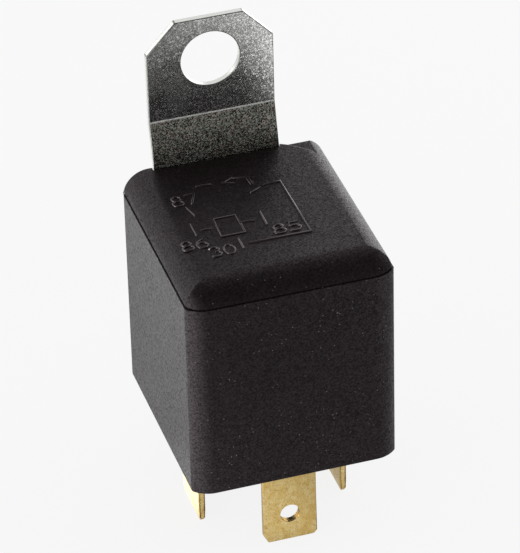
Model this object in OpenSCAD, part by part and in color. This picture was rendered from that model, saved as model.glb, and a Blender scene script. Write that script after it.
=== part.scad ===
// Automotive relay: four blade terminals, normally-open contact, steel mounting bracket.
// Origin at the centre of the housing's lower rim. +X right, +Y towards the bracket, +Z up.

/* [Housing] */
// Width of the housing, side to side
body_w = 23.8; // [23.4:0.1:32]
// Depth of the housing, front to back
body_d = 25.5; // [25.2:0.1:34]
// Height of the sleeve, from its rim to the seam
sleeve_h = 24.6; // [24.4:0.1:34]
// Height of the cap above the seam
cap_h = 2.6; // [2.2:0.1:4]
// Radius of the rounded top edges
edge_r = 3; // [2.4:0.1:3.6]
// Radius of the front corners
corner_r = 3.3; // [2.6:0.1:4]
// How far the side faces cut into the round of the front corners
corner_shave = 0.75; // [0:0.05:1]
// Radius of the rear corners
rear_r = 0.8; // [0.5:0.1:1.5]
// Wall of the sleeve and the cap
wall = 1.2; // [1:0.05:1.5]
// Height of the groove that marks the seam
seam_gap = 0.14; // [0.1:0.02:0.3]
// Depth of the groove that marks the seam
seam_depth = 0.25; // [0.1:0.05:0.4]
// Depth of the same groove along the front
seam_front = 0.16; // [0.06:0.02:0.4]
// How far the cap stands back from the sleeve at the sides and the rear
cap_inset = 0.1; // [0.04:0.02:0.2]
// How far the cap stands back from the sleeve at the front
front_inset = 0; // [0:0.02:0.2]
// Height of the lip with which the cap plugs into the sleeve
lip_h = 1.3; // [1:0.1:2]
// Depth of the ledge across the cap's right rear corner
ledge_depth = 0.38; // [0.2:0.02:0.6]
// Thickness of the base plate
base_t = 2.3; // [1.8:0.1:4]
// How far the base plate lies above the rim
base_recess = 0.3; // [0.1:0.1:1]

/* [Blades] */
// Width of a blade
blade_w = 6.3; // [4.8:0.1:6.6]
// Thickness of a blade
blade_t = 0.8; // [0.6:0.05:1]
// Length of a blade below the rim
blade_len = 11.2; // [8:0.1:16]
// Diameter of the detent hole in a blade
detent_d = 2.3; // [1.6:0.1:2.8]
// Distance from a blade's tip to the centre of its hole
detent_from_tip = 3.75; // [2.5:0.05:5]
// Height of the cut corners at a blade's tip
tip_h = 0.4; // [0.2:0.1:2]
// Width of the cut corners at a blade's tip
tip_w = 0.3; // [0.2:0.1:1.5]
// Height of the load blade's larger cut corner
cut_h = 1.2; // [0.4:0.1:2]
// Width of the load blade's larger cut corner
cut_w = 0.6; // [0.3:0.1:1.5]
// Distance of the load blade 87 in front of the centre
front_blade_y = 9.22; // [9:0.02:11]
// Distance of the coil blades 85 and 86 from the centre
side_blade_x = 8.45; // [8.3:0.05:11]
// Distance of the supply blade 30 behind the centre
rear_blade_y = 7.8; // [7.4:0.1:8]

/* [Bracket] */
// Width of the bracket
bracket_w = 14.7; // [10:0.1:15.5]
// Thickness of the bracket's steel
bracket_t = 0.8; // [0.6:0.05:1]
// Sideways place of the bracket's centre line
bracket_x = -0.85; // [-1.2:0.05:1.2]
// Height of the bracket above the cap
bracket_rise = 17.5; // [15:0.1:30]
// Height of the upper bend above the cap
bend_rise = 5.25; // [3:0.05:7]
// How far the upper plate is set back from the leg
joggle = 1.35; // [0.8:0.05:2.5]
// Diameter of the bolt hole
bolt_d = 6.8; // [5:0.1:9]
// Height of the bolt hole's centre above the cap
bolt_rise = 12.2; // [10:0.1:14]
// Width of the bracket's cut corners
corner_w = 3.4; // [1:0.1:4]
// Height of the bracket's cut corners
corner_h = 3.6; // [1:0.1:4]
// Length of the leg below the seam
leg_len = 15.6; // [10:0.1:16]

/* [Magnet] */
// Radius of the iron core
core_r = 3; // [2.4:0.1:3.4]
// Outer radius of the winding
coil_r = 6.6; // [5.6:0.1:6.8]
// Length of the winding
coil_len = 12.7; // [10:0.1:13]
// Thickness of the bobbin's flanges
flange_t = 0.9; // [0.7:0.1:1]
// Thickness of the yoke's steel
yoke_t = 1.4; // [1:0.1:1.5]
// Width of the yoke and the armature
yoke_w = 11; // [8:0.1:12]
// Thickness of the armature
armature_t = 1.3; // [1:0.1:1.5]
// Angle by which the armature stands open at rest
open_angle = 3.5; // [2:0.1:4]

/* [Contacts] */
// Distance of the contacts behind the load blade
contact_reach = 1.5; // [1.4:0.02:1.7]
// Radius of the contact faces
contact_r = 1.5; // [1:0.1:1.6]
// Thickness of the contact leaf
leaf_t = 0.3; // [0.2:0.05:0.4]
// Width of the contact leaf
leaf_w = 6.4; // [5:0.1:8]

/* [Fits] */
// Clearance between parts that are pushed together
slip = 0.1; // [0.05:0.01:0.15]
// Clearance between parts that move past each other
run = 0.05; // [0.03:0.01:0.1]

/* [Hidden] */
$fn = 64;
eps = 0.01;
top_z = sleeve_h + cap_h;
back_y = body_d / 2;

// Levels, from the base upwards
base_top = base_recess + base_t;
foot_top = base_top + yoke_t;
bobbin_z = foot_top + run;
bobbin_h = coil_len + 2 * flange_t;
head_t = 1.1;
head_gap = 0.3;
tube_t = 0.9;
head_r = core_r * 1.4;
pole_z = bobbin_z + bobbin_h + head_gap + head_t;
pivot_z = pole_z + run;
armature_z = pivot_z + run;
leaf_z = armature_z + armature_t;

// The yoke's leg stands behind the winding, and the armature tips on the leg's rear edge
leg_gap = 0.6;
leg_y = coil_r + leg_gap;
pivot_y = leg_y + yoke_t;
ear_w = 1.2;
ear_h = 1.6;
tail_w = 2.8;
tail_len = 1.8;
spring_y = pivot_y + 1.2;
spring_hole_r = 0.45;

// Contacts
contact_y = -front_blade_y + contact_reach;
moving_head_t = 0.55;
fixed_head_t = 0.8;
fixed_top = leaf_z - moving_head_t - run;
tab_top = fixed_top - fixed_head_t;
armature_tip = contact_y + contact_r + 0.9;

// Shanks and heads of the rivets
rivet_r = 0.8;
rivet_head_r = 1.5;
rivet_head_t = 0.6;
leaf_rivet_r = 0.7;
upset_r = 1.1;
stake_gap = 0.02;

// Shoulders with which the blades sit on the base
shoulder_w = 0.5;
shoulder_h = 1;

// Bracket
wall_cover = 0.6;
leg_front = back_y - wall_cover;
leg_bottom = sleeve_h - leg_len;
slot_front = leg_front - slip;
slot_back = leg_front + bracket_t + slip;
pocket_wall = 1.05;
pocket_back = leg_front + bracket_t + joggle - run;
pocket_side = 1.5;
pocket_top = sleeve_h - 1.4;
snap_w = 5;
snap_h = 3;
snap_z = leg_bottom + 3.6;
lower_bend = 0.3;
leg_corner = 1;

// Return spring
hook_z = foot_top + coil_len * 0.55;
hook_t = 0.8;
lug_hole_r = 0.4;

// ---------- shared shapes ----------

// Rounded rectangle about the origin: rf rounds the two front corners, rb the two rear ones
module plan(w, d, rf, rb) {
    translate([-w / 2, -d / 2 + rf]) square([w, d - rf - rb]);
    translate([-w / 2 + rf, -d / 2]) square([w - 2 * rf, d / 2]);
    translate([-w / 2 + rb, 0]) square([w - 2 * rb, d / 2]);
    for (side = [-1, 1]) {
        translate([side * (w / 2 - rf), -d / 2 + rf]) circle(r = rf);
        translate([side * (w / 2 - rb), d / 2 - rb]) circle(r = rb);
    }
}

// The housing's plan, set in all round: the flat sides end in a soft edge at the front corners
module housing_plan(side_gap = 0, front_gap = 0) {
    w = body_w - 2 * side_gap;
    rf = corner_r - side_gap;
    wide = w + 2 * corner_shave;
    d = body_d - side_gap - front_gap;
    translate([0, (front_gap - side_gap) / 2]) intersection() {
        plan(wide, d, rf, eps);
        plan(w, d, eps, rear_r);
    }
}

// The space inside the sleeve's walls, smaller all round by gap
module cavity_plan(gap = 0) {
    inset = 2 * (wall + gap);
    plan(body_w - inset, body_d - inset, corner_r - wall - gap, 0.5);
}

// A box given by its lowest and highest corners
module block(low, high) {
    translate(low) cube(high - low);
}

// Turns what is drawn closed into its resting, open position
module swing_open() {
    translate([0, pivot_y, pivot_z]) rotate([-open_angle, 0, 0])
        translate([0, -pivot_y, -pivot_z]) children();
}

// A rivet along Z: shank from z0 to z1, with a round head below z0 and another above z1
module rivet(r, z0, z1, head_low = [0, 0], head_high = [0, 0]) {
    translate([0, 0, z0]) cylinder(r = r, h = z1 - z0);
    if (head_low[1] > 0) translate([0, 0, z0 - head_low[1]]) cylinder(r = head_low[0], h = head_low[1]);
    if (head_high[1] > 0) translate([0, 0, z1]) cylinder(r = head_high[0], h = head_high[1]);
}

// ---------- housing ----------

module cover_sleeve() {
    color([0.09, 0.085, 0.085]) {
        difference() {
            union() {
                difference() {
                    linear_extrude(sleeve_h) housing_plan();
                    translate([0, 0, -1]) linear_extrude(sleeve_h + 2) cavity_plan();
                }
                bracket_pocket();
            }
            bracket_slot();
        }
        bracket_snap();
        base_ribs();
    }
}

// Pocket that carries the bracket, inside and outside the rear wall
module bracket_pocket() {
    half_inner = bracket_w / 2 + slip + wall_cover;
    half_outer = bracket_w / 2 + slip + pocket_side;
    root_y = back_y - 0.3;
    floor_t = 1;
    foot_t = floor_t + 0.2;
    block([bracket_x - half_inner, slot_front - pocket_wall, leg_bottom - floor_t],
          [bracket_x + half_inner, root_y, sleeve_h]);
    block([bracket_x - half_outer, root_y, leg_bottom - foot_t],
          [bracket_x + half_outer, pocket_back, pocket_top]);
}

// Slot for the bracket's leg, open at the top, and the window behind the snap
module bracket_slot() {
    half_slot = bracket_w / 2 + slip;
    half_window = snap_w / 2 + 0.5;
    window_low = 0.6;
    window_high = 0.8;
    block([bracket_x - half_slot, slot_front, leg_bottom - slip],
          [bracket_x + half_slot, slot_back, sleeve_h + 1]);
    block([bracket_x - half_slot, slot_front, pocket_top],
          [bracket_x + half_slot, pocket_back + 1, sleeve_h + 1]);
    block([bracket_x - half_window, slot_back - eps, snap_z - window_low],
          [bracket_x + half_window, pocket_back + 1, snap_z + snap_h + window_high]);
}

// Snap that the leg's window drops over
module bracket_snap() {
    root = 0.2;
    translate([bracket_x, slot_front, snap_z + slip]) rotate([90, 0, -90])
        translate([0, 0, -snap_w / 2 + slip]) linear_extrude(snap_w - 2 * slip)
            polygon([[root, 0], [-bracket_t, 0], [root, snap_h - 2 * slip]]);
}

// Ribs that the base plate is pushed up against
module base_ribs() {
    rib_w = 1.2;
    rib_t = 0.6;
    rib_h = 5;
    root = 0.2;
    inner = body_w / 2 - wall;
    for (side = [-1, 1], y = [-body_d / 4, body_d / 4])
        block([side > 0 ? inner - rib_t : -inner - root, y - rib_w / 2, base_top],
              [side > 0 ? inner + root : -inner + rib_t, y + rib_w / 2, base_top + rib_h]);
}

// The cap's outside above the seam: flat top, rounded along the front and both sides
module cap_outside() {
    hw = body_w / 2 - cap_inset - edge_r;
    back = back_y - cap_inset;
    zc = top_z - edge_r;
    intersection() {
        // section across X, rounded at both sides
        union() {
            block([-hw, -body_d, 0], [hw, back, top_z]);
            block([-hw - edge_r, -body_d, 0], [hw + edge_r, back, zc]);
            for (side = [-1, 1]) translate([side * hw, -body_d, zc]) rotate([-90, 0, 0])
                cylinder(r = edge_r, h = body_d + back);
        }
        cap_front();
        block([-body_w, -body_d, sleeve_h + seam_gap], [body_w, body_d, top_z + 1]);
    }
}

// What the front leaves of the cap: rounded along its upper edge and at both corners
module cap_front() {
    hw = body_w / 2 - cap_inset + corner_shave - corner_r;
    front = -body_d / 2 + front_inset + corner_r;
    zc = top_z - corner_r;
    block([-hw - corner_r, front, 0], [hw + corner_r, back_y, top_z]);
    block([-hw, front - corner_r, 0], [hw, front, zc]);
    translate([-hw, front, zc]) rotate([0, 90, 0]) cylinder(r = corner_r, h = 2 * hw);
    for (side = [-1, 1]) translate([side * hw, front, 0]) {
        cylinder(r = corner_r, h = zc);
        translate([0, 0, zc]) sphere(r = corner_r);
    }
}

module cover_cap() {
    lip_t = 1;
    lip_corner = 0.8;
    ceiling = top_z - wall;
    half_notch = bracket_w / 2 + slip;
    room = 2 * (wall + slip + lip_t);
    rear = slot_front - pocket_wall - slip;
    color([0.09, 0.085, 0.085]) {
        difference() {
            union() {
                cap_outside();
                seam_neck();
                // lip inside the sleeve
                intersection() {
                    translate([0, 0, sleeve_h - lip_h]) linear_extrude(lip_h + seam_gap)
                        cavity_plan(slip);
                    block([-body_w, -body_d, 0], [body_w, rear, top_z]);
                }
            }
            // inside
            intersection() {
                translate([0, 0, sleeve_h - lip_h - 1]) linear_extrude(ceiling - sleeve_h + lip_h + 1)
                    plan(body_w - room, body_d - room, lip_corner, lip_corner);
                block([-body_w, -body_d, 0], [body_w, rear - lip_t, top_z]);
            }
            // notch for the bracket
            block([bracket_x - half_notch, slot_front, sleeve_h - 1],
                  [bracket_x + half_notch, back_y + 1, top_z + 1]);
            corner_ledge();
        }
        armature_stop(ceiling);
    }
}

// Neck at the bottom of the seam's groove
module seam_neck() {
    translate([0, 0, sleeve_h]) linear_extrude(seam_gap + eps) housing_plan(seam_depth, seam_front);
}

// Shallow ledge across the right rear corner, behind a round shoulder
module corner_ledge() {
    ledge = [2.7, 5.1];
    ledge_r = 8.6;
    difference() {
        block([ledge[0], ledge[1], top_z - ledge_depth], [body_w, body_d, top_z + 1]);
        translate([ledge[0], ledge[1], sleeve_h]) cylinder(r = ledge_r, h = cap_h * 2);
    }
}

// Stop for the opened armature, hanging from the ceiling
module armature_stop(ceiling) {
    half_w = 2;
    half_t = 0.5;
    root = 0.2;
    stop_y = armature_tip + 1.2;
    stop_z = leaf_z + leaf_t + (pivot_y - stop_y) * tan(open_angle) + 2 * run;
    block([-half_w, stop_y - half_t, stop_z], [half_w, stop_y + half_t, ceiling + root]);
}

module base() {
    collar_h = 0.2;
    collar_end = 0.3;
    collar_side = 0.6;
    pocket_w = 3.4;
    pocket_r = 0.8;
    pocket_depth = 0.45;
    pocket_place = 0.27;
    color([0.16, 0.15, 0.14]) difference() {
        union() {
            translate([0, 0, base_recess]) linear_extrude(base_t) cavity_plan(slip);
            // collars round the blades
            blade_places() translate([0, 0, base_recess - collar_h]) linear_extrude(collar_h + eps)
                plan(blade_w + 2 * collar_end, blade_t + 2 * collar_side, collar_end, collar_end);
        }
        blade_places() blade_slot();
        // seats for the rivet heads
        for (side = [-1, 1]) translate([side * rivet_x(), rivet_y(), -1]) {
            cylinder(r = rivet_r + slip, h = base_top + 2);
            cylinder(r = rivet_head_r + slip, h = 1 + base_recess + rivet_head_t + run);
        }
        // moulding pockets between the blades
        for (side = [-1, 1]) for (end = [-1, 1])
            translate([side * body_w * pocket_place, end * body_d * pocket_place, base_recess - 1])
                linear_extrude(1 + pocket_depth) plan(pocket_w, pocket_w, pocket_r, pocket_r);
    }
}

// Puts what is drawn across X at the origin at each of the four blades
module blade_places() {
    translate([0, -front_blade_y, 0]) children();
    for (side = [-1, 1]) translate([side * side_blade_x, 0, 0]) rotate([0, 0, 90]) children();
    translate([0, rear_blade_y, 0]) rotate([0, 0, 90]) children();
}

module blade_slot() {
    translate([-blade_w / 2 - run, -blade_t / 2 - run, -1])
        cube([blade_w + 2 * run, blade_t + 2 * run, base_top + 2]);
}

// ---------- mounting bracket ----------

module mounting_bracket() {
    z_low = top_z - lower_bend;
    z_high = top_z + bend_rise;
    z_end = top_z + bracket_rise;
    y0 = leg_front;
    y1 = leg_front + joggle;
    half = bracket_w / 2;
    color([0.55, 0.55, 0.53]) translate([bracket_x, 0, 0]) difference() {
        intersection() {
            // side view: leg, joggle, upper plate
            rotate([90, 0, 90]) translate([0, 0, -half]) linear_extrude(bracket_w)
                polygon([
                    [y0, leg_bottom], [y0 + bracket_t, leg_bottom],
                    [y0 + bracket_t, z_low - bend_shift()], [y1 + bracket_t, z_high - bend_shift()],
                    [y1 + bracket_t, z_end], [y1, z_end],
                    [y1, z_high + bend_shift()], [y0, z_low + bend_shift()]
                ]);
            // front view: cut corners above, eased corners below
            rotate([90, 0, 0]) translate([0, 0, -y1 - bracket_t - 1])
                linear_extrude(joggle + bracket_t + 2)
                    polygon([
                        [-half + leg_corner, leg_bottom], [half - leg_corner, leg_bottom],
                        [half, leg_bottom + leg_corner], [half, z_end - corner_h],
                        [half - corner_w, z_end], [-half + corner_w, z_end],
                        [-half, z_end - corner_h], [-half, leg_bottom + leg_corner]
                    ]);
        }
        translate([0, y1 - 1, top_z + bolt_rise]) rotate([-90, 0, 0])
            cylinder(d = bolt_d, h = bracket_t + 2);
        block([-snap_w / 2, y0 - 1, snap_z], [snap_w / 2, y0 + bracket_t + 1, snap_z + snap_h]);
    }
}

// Where the inner and outer bend lines of the joggle lie, so that the sheet keeps its thickness
function bend_shift() =
    let (slope = atan(joggle / (bend_rise + lower_bend))) bracket_t / 2 * tan(slope / 2);

// ---------- blades ----------

// The part of a blade below the base's top, drawn across X with its hole along Y.
// left is the width and height of the cut corner on its left.
module blade_shank(left = [tip_w, tip_h]) {
    w = blade_w / 2;
    t = blade_t / 2;
    bevel = 0.12;
    tip_bevel = 0.16;
    taper_h = 1;
    tip_z = -blade_len;
    top = base_top;
    difference() {
        intersection() {
            // front view, with the cut corners
            rotate([90, 0, 0]) translate([0, 0, -t]) linear_extrude(blade_t)
                polygon([
                    [-w + left[0], tip_z], [w - tip_w, tip_z], [w, tip_z + tip_h],
                    [w, top], [-w, top], [-w, tip_z + left[1]]
                ]);
            // side view, thinned towards the tip
            rotate([90, 0, 90]) translate([0, 0, -w]) linear_extrude(blade_w)
                polygon([
                    [-t + tip_bevel, tip_z], [t - tip_bevel, tip_z], [t, tip_z + taper_h],
                    [t, top], [-t, top], [-t, tip_z + taper_h]
                ]);
            // section, with broken long edges
            translate([0, 0, tip_z]) linear_extrude(top - tip_z)
                polygon([
                    [-w + bevel, -t], [w - bevel, -t], [w, -t + bevel], [w, t - bevel],
                    [w - bevel, t], [-w + bevel, t], [-w, t - bevel], [-w, -t + bevel]
                ]);
        }
        translate([0, -t - 1, tip_z + detent_from_tip]) rotate([-90, 0, 0])
            cylinder(d = detent_d, h = blade_t + 2);
    }
}

// Shoulders of a blade on the base, drawn like blade_shank
module blade_shoulders() {
    half = blade_w / 2 + shoulder_w;
    block([-half, -blade_t / 2, base_top], [half, blade_t / 2, base_top + shoulder_h]);
}

// Load blade: its riser carries the fixed contact on a bent tab
module blade_87() {
    t = blade_t / 2;
    riser_w = 5;
    bend_r = 0.15;
    bend_z = tab_top - blade_t - bend_r;
    tab_end = contact_reach + contact_r + 0.1;
    quarter = blade_t + bend_r + 1;
    color([0.78, 0.66, 0.38]) translate([0, -front_blade_y, 0]) {
        blade_shank([cut_w, cut_h]);
        blade_shoulders();
        block([-riser_w / 2, -t, base_top + shoulder_h], [riser_w / 2, t, bend_z]);
        difference() {
            union() {
                // bend and tab
                translate([0, t + bend_r, bend_z]) rotate([0, 90, 0])
                    intersection() {
                        difference() {
                            cylinder(r = blade_t + bend_r, h = riser_w, center = true);
                            cylinder(r = bend_r, h = riser_w + 2, center = true);
                        }
                        block([-quarter, -quarter, -riser_w], [0, 0, riser_w]);
                    }
                block([-riser_w / 2, t + bend_r, tab_top - blade_t], [riser_w / 2, tab_end, tab_top]);
            }
            translate([0, contact_reach, tab_top - blade_t - 1])
                cylinder(r = rivet_r + run / 2, h = blade_t + 2);
        }
    }
}

// Coil blade: a tag inside takes the end of the winding
module coil_blade(side) {
    tag_w = 3;
    tag_h = 4.6;
    notch_r = 0.6;
    t = blade_t / 2;
    color([0.78, 0.66, 0.38]) translate([side * side_blade_x, 0, 0]) rotate([0, 0, 90]) {
        blade_shank();
        blade_shoulders();
        difference() {
            block([-tag_w / 2, -t, base_top + shoulder_h], [tag_w / 2, t, base_top + tag_h]);
            translate([0, 0, base_top + tag_h]) rotate([90, 0, 0])
                cylinder(r = notch_r, h = blade_t + 2, center = true);
        }
    }
}

module blade_86() {
    coil_blade(-1);
}

module blade_85() {
    coil_blade(1);
}

// Supply blade: its tenon is staked in the yoke's foot
module blade_30() {
    t = blade_t / 2;
    half = tenon_w() / 2;
    staked = 0.3;
    color([0.78, 0.66, 0.38]) {
        translate([0, rear_blade_y, 0]) rotate([0, 0, 90]) blade_shank();
        block([-t, tenon_y() - half, base_top - eps], [t, tenon_y() + half, foot_top + staked]);
    }
}

function tenon_w() = 1.6;
function tenon_y() = rear_blade_y - blade_w / 2 + tenon_w() / 2 + 0.2;

// ---------- magnet ----------

module yoke() {
    foot_front = -core_r - 1.6;
    bend_r = yoke_t + 0.3;
    half = yoke_w / 2;
    tenon_t = blade_t / 2 + stake_gap;
    tenon_d = tenon_w() / 2 + stake_gap;
    color([0.6, 0.61, 0.63]) difference() {
        union() {
            // foot and leg, with a rounded outer corner
            difference() {
                union() {
                    block([-half, foot_front, base_top], [half, pivot_y - bend_r, foot_top]);
                    block([-half, leg_y, base_top + bend_r], [half, pivot_y, pivot_z]);
                    translate([0, pivot_y - bend_r, base_top + bend_r]) rotate([0, 90, 0])
                        cylinder(r = bend_r, h = yoke_w, center = true);
                }
                // inside of the bend
                block([-half - 1, -body_d, foot_top], [half + 1, leg_y, pivot_z + 1]);
            }
            // ears that keep the armature in place
            for (side = [-1, 1])
                block([side > 0 ? half - ear_w : -half, leg_y, pivot_z - 1],
                      [side > 0 ? half : -half + ear_w, pivot_y, pivot_z + ear_h]);
            spring_lug();
        }
        translate([0, 0, base_top - 1]) cylinder(r = tenon_r() + stake_gap, h = yoke_t + 2);
        block([-tenon_t, tenon_y() - tenon_d, base_top - 1],
              [tenon_t, tenon_y() + tenon_d, foot_top + 1]);
        for (side = [-1, 1]) translate([side * rivet_x(), rivet_y(), base_top - 1])
            cylinder(r = rivet_r + run, h = yoke_t + 2);
        translate([0, spring_y, hook_z - hook_t - 1]) cylinder(r = lug_hole_r, h = hook_t + 2);
    }
}

// Lug that holds the lower end of the return spring
module spring_lug() {
    lug_w = 2.6;
    lug_end = spring_y + 0.9;
    root = 0.5;
    block([-lug_w / 2, pivot_y - root, hook_z - hook_t], [lug_w / 2, lug_end, hook_z]);
}

function tenon_r() = core_r * 0.6;
function rivet_x() = yoke_w / 2 - 1.6;
function rivet_y() = -core_r + 0.2;

module core() {
    color([0.66, 0.66, 0.68]) {
        translate([0, 0, base_top]) cylinder(r = tenon_r(), h = yoke_t + eps);
        translate([0, 0, foot_top]) cylinder(r = core_r, h = pole_z - foot_top - head_t / 2);
        translate([0, 0, pole_z - head_t]) cylinder(r = head_r, h = head_t);
    }
}

module bobbin() {
    tube_r = core_r + tube_t;
    overhang = 0.7;
    flange_r = 2;
    notch_r = 0.7;
    stake_room = 0.5;
    flange_w = 2 * (coil_r + overhang);
    flange_d = 2 * (coil_r + leg_gap / 2);
    color([0.85, 0.83, 0.76]) difference() {
        union() {
            translate([0, 0, bobbin_z]) cylinder(r = tube_r, h = bobbin_h);
            for (z = [bobbin_z, bobbin_z + bobbin_h - flange_t])
                translate([0, 0, z]) linear_extrude(flange_t)
                    plan(flange_w, flange_d, flange_r, flange_r);
        }
        translate([0, 0, bobbin_z - 1]) cylinder(r = core_r + slip, h = bobbin_h + 2);
        // notches for the ends of the winding
        for (side = [-1, 1]) translate([side * flange_w / 2, 0, bobbin_z - 1])
            cylinder(r = notch_r, h = flange_t + 2);
        // room over the staked tenon
        block([-blade_t, tenon_y() - tenon_w() / 2 - stake_room, bobbin_z - 1],
              [blade_t, body_d, bobbin_z + stake_room]);
    }
}

module winding() {
    color([0.72, 0.36, 0.16]) translate([0, 0, bobbin_z + flange_t + run]) difference() {
        cylinder(r = coil_r, h = coil_len - 2 * run);
        translate([0, 0, -1]) cylinder(r = core_r + tube_t + run, h = coil_len + 2);
    }
}

// End of the winding, laid to the tag of a coil blade and soldered there
module coil_lead(side) {
    z = base_top + 3;
    wire_r = 0.2;
    solder_r = 0.6;
    lead_x = coil_r + 0.3;
    outer = side_blade_x - blade_t / 2;
    rise = bobbin_z + flange_t + 1;
    color([0.75, 0.4, 0.2]) rotate([0, 0, side > 0 ? 0 : 180]) {
        translate([lead_x, 0, z]) rotate([0, 90, 0]) cylinder(r = wire_r, h = outer - lead_x);
        translate([lead_x, 0, z]) cylinder(r = wire_r, h = rise - z);
        for (end = [z, rise]) translate([lead_x, 0, end]) sphere(r = wire_r);
        translate([coil_r, 0, rise]) rotate([0, 90, 0]) cylinder(r = wire_r, h = lead_x - coil_r);
        // solder
        intersection() {
            translate([outer, 0, z]) sphere(r = solder_r);
            block([0, -2 * solder_r, 0], [outer, 2 * solder_r, pole_z]);
        }
    }
}

module coil_lead_86() {
    coil_lead(-1);
}

module coil_lead_85() {
    coil_lead(1);
}

// ---------- moving parts, drawn closed and swung open ----------

module armature() {
    half = yoke_w / 2;
    neck = neck_x();
    neck_y = pivot_y + 0.1;
    shoulder_y = leg_y - 0.25;
    front_cut = 1.2;
    color([0.62, 0.63, 0.65]) swing_open() difference() {
        translate([0, 0, armature_z]) linear_extrude(armature_t)
            polygon([
                [-half + front_cut, armature_tip], [half - front_cut, armature_tip],
                [half, armature_tip + front_cut], [half, shoulder_y], [neck, shoulder_y],
                [neck, neck_y], [tail_w / 2, neck_y],
                [tail_w / 2, pivot_y + tail_len], [-tail_w / 2, pivot_y + tail_len],
                [-tail_w / 2, neck_y], [-neck, neck_y], [-neck, shoulder_y],
                [-half, shoulder_y], [-half, armature_tip + front_cut]
            ]);
        translate([0, spring_y, armature_z - 1]) cylinder(r = spring_hole_r, h = armature_t + 2);
        leaf_rivet_holes(armature_z, armature_t);
    }
}

module leaf_rivet_places() {
    for (side = [-1, 1]) translate([side * leaf_w * 0.3, core_r + 0.4, 0]) children();
}

// Holes for the leaf's rivets through a sheet that starts at z
module leaf_rivet_holes(z, sheet_t) {
    leaf_rivet_places() translate([0, 0, z - 1]) cylinder(r = leaf_rivet_r + run / 2, h = sheet_t + 2);
}

module contact_leaf() {
    half = leaf_w / 2;
    tip = contact_r + 0.3;
    wide_y = armature_tip + 1.5;
    end_y = leg_y - 0.9;
    color([0.72, 0.5, 0.3]) swing_open() difference() {
        translate([0, 0, leaf_z]) linear_extrude(leaf_t) union() {
            polygon([
                [-tip, contact_y], [tip, contact_y], [half, wide_y],
                [half, end_y], [-half, end_y], [-half, wide_y]
            ]);
            translate([0, contact_y]) circle(r = tip);
        }
        translate([0, contact_y, leaf_z - 1]) cylinder(r = rivet_r + run / 2, h = leaf_t + 2);
        leaf_rivet_holes(leaf_z, leaf_t);
    }
}

module leaf_rivets() {
    color([0.7, 0.7, 0.72]) swing_open() leaf_rivet_places()
        rivet(leaf_rivet_r, armature_z + run, leaf_z + leaf_t, head_high = [upset_r, 0.4]);
}

module moving_contact() {
    color([0.85, 0.85, 0.82]) swing_open() translate([0, contact_y, 0])
        rivet(rivet_r, leaf_z, leaf_z + leaf_t,
              head_low = [contact_r, moving_head_t], head_high = [upset_r, 0.3]);
}

module fixed_contact() {
    color([0.85, 0.85, 0.82]) translate([0, contact_y, 0])
        rivet(rivet_r, tab_top - blade_t, tab_top,
              head_low = [rivet_r + 0.1, 0.25], head_high = [contact_r + 0.1, fixed_head_t]);
}

// Woven strap from the yoke's leg over the hinge to the leaf, welded at both ends
module flexible_braid() {
    w = 2;
    t = 0.6;
    weld_low = pivot_z - 2.6;
    weld_high = pivot_z - 1.2;
    x0 = -neck_x() + 0.1;
    foot_y = pivot_y + 0.22;
    back = pivot_y + 0.9;
    front = leg_y - 2.4;
    bow = (back - front) / 2;
    zc = leaf_z + leaf_t;
    color([0.76, 0.45, 0.25]) swing_open() {
        // welded end and rise behind the leg
        block([x0, foot_y, weld_low], [x0 + w, back, weld_high]);
        block([x0, back - t, weld_high - eps], [x0 + w, back, zc]);
        // half loop over the hinge
        intersection() {
            translate([x0, front + bow, zc]) rotate([0, 90, 0]) difference() {
                cylinder(r = bow, h = w);
                translate([0, 0, -1]) cylinder(r = bow - t, h = w + 2);
            }
            block([x0 - 1, -body_d, zc], [x0 + w + 1, body_d, zc + bow + 1]);
        }
    }
}

function neck_x() = yoke_w / 2 - ear_w - slip;

// ---------- return spring ----------

// Tension spring between the yoke's lug and the armature's tail, with a straight end at each
module return_spring() {
    wire_r = 0.13;
    mean_r = 0.72;
    z0 = hook_z + 0.6;
    z1 = armature_z - 0.9;
    turns = 10;
    steps = 12;
    sides = 6;
    n = turns * steps;
    helix = [for (i = [-1:n + 1]) let (a = 360 * i / steps)
        [mean_r * cos(a), mean_r * sin(a), z0 + (z1 - z0) * i / n]];
    color([0.75, 0.75, 0.77]) translate([0, spring_y, 0]) {
        tube(helix, wire_r, sides);
        for (end = [[hook_z - hook_t, z0], [z1, armature_z + 0.9]])
            translate([0, 0, end[0]]) cylinder(r = wire_r, h = end[1] - end[0]);
        for (z = [z0, z1]) translate([0, 0, z]) {
            sphere(r = wire_r);
            rotate([0, 90, 0]) cylinder(r = wire_r, h = mean_r);
        }
    }
}

// A round wire swept along points that turn about the Z axis
module tube(points, r, sides) {
    n = len(points);
    function along(i) = let (d = points[min(i + 1, n - 1)] - points[max(i - 1, 0)]) d / norm(d);
    function across(t) = let (u = cross(t, [0, 0, 1])) u / norm(u);
    rings = [for (i = [0:n - 1]) let (t = along(i), u = across(t), v = cross(t, u))
        for (k = [0:sides - 1])
            points[i] + r * (cos(360 * k / sides) * u + sin(360 * k / sides) * v)];
    walls = [for (i = [0:n - 2], k = [0:sides - 1])
        let (j = (k + 1) % sides, a = i * sides + k, b = i * sides + j)
        each [[a, b + sides, b], [a, a + sides, b + sides]]];
    ends = [[for (k = [0:sides - 1]) k], [for (k = [sides - 1:-1:0]) (n - 1) * sides + k]];
    polyhedron(points = rings, faces = concat(walls, ends));
}

// ---------- fasteners ----------

module base_rivets() {
    color([0.75, 0.72, 0.6]) for (side = [-1, 1]) translate([side * rivet_x(), rivet_y(), 0])
        rivet(rivet_r, base_recess + rivet_head_t, foot_top, head_low = [rivet_head_r, rivet_head_t]);
}

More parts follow.
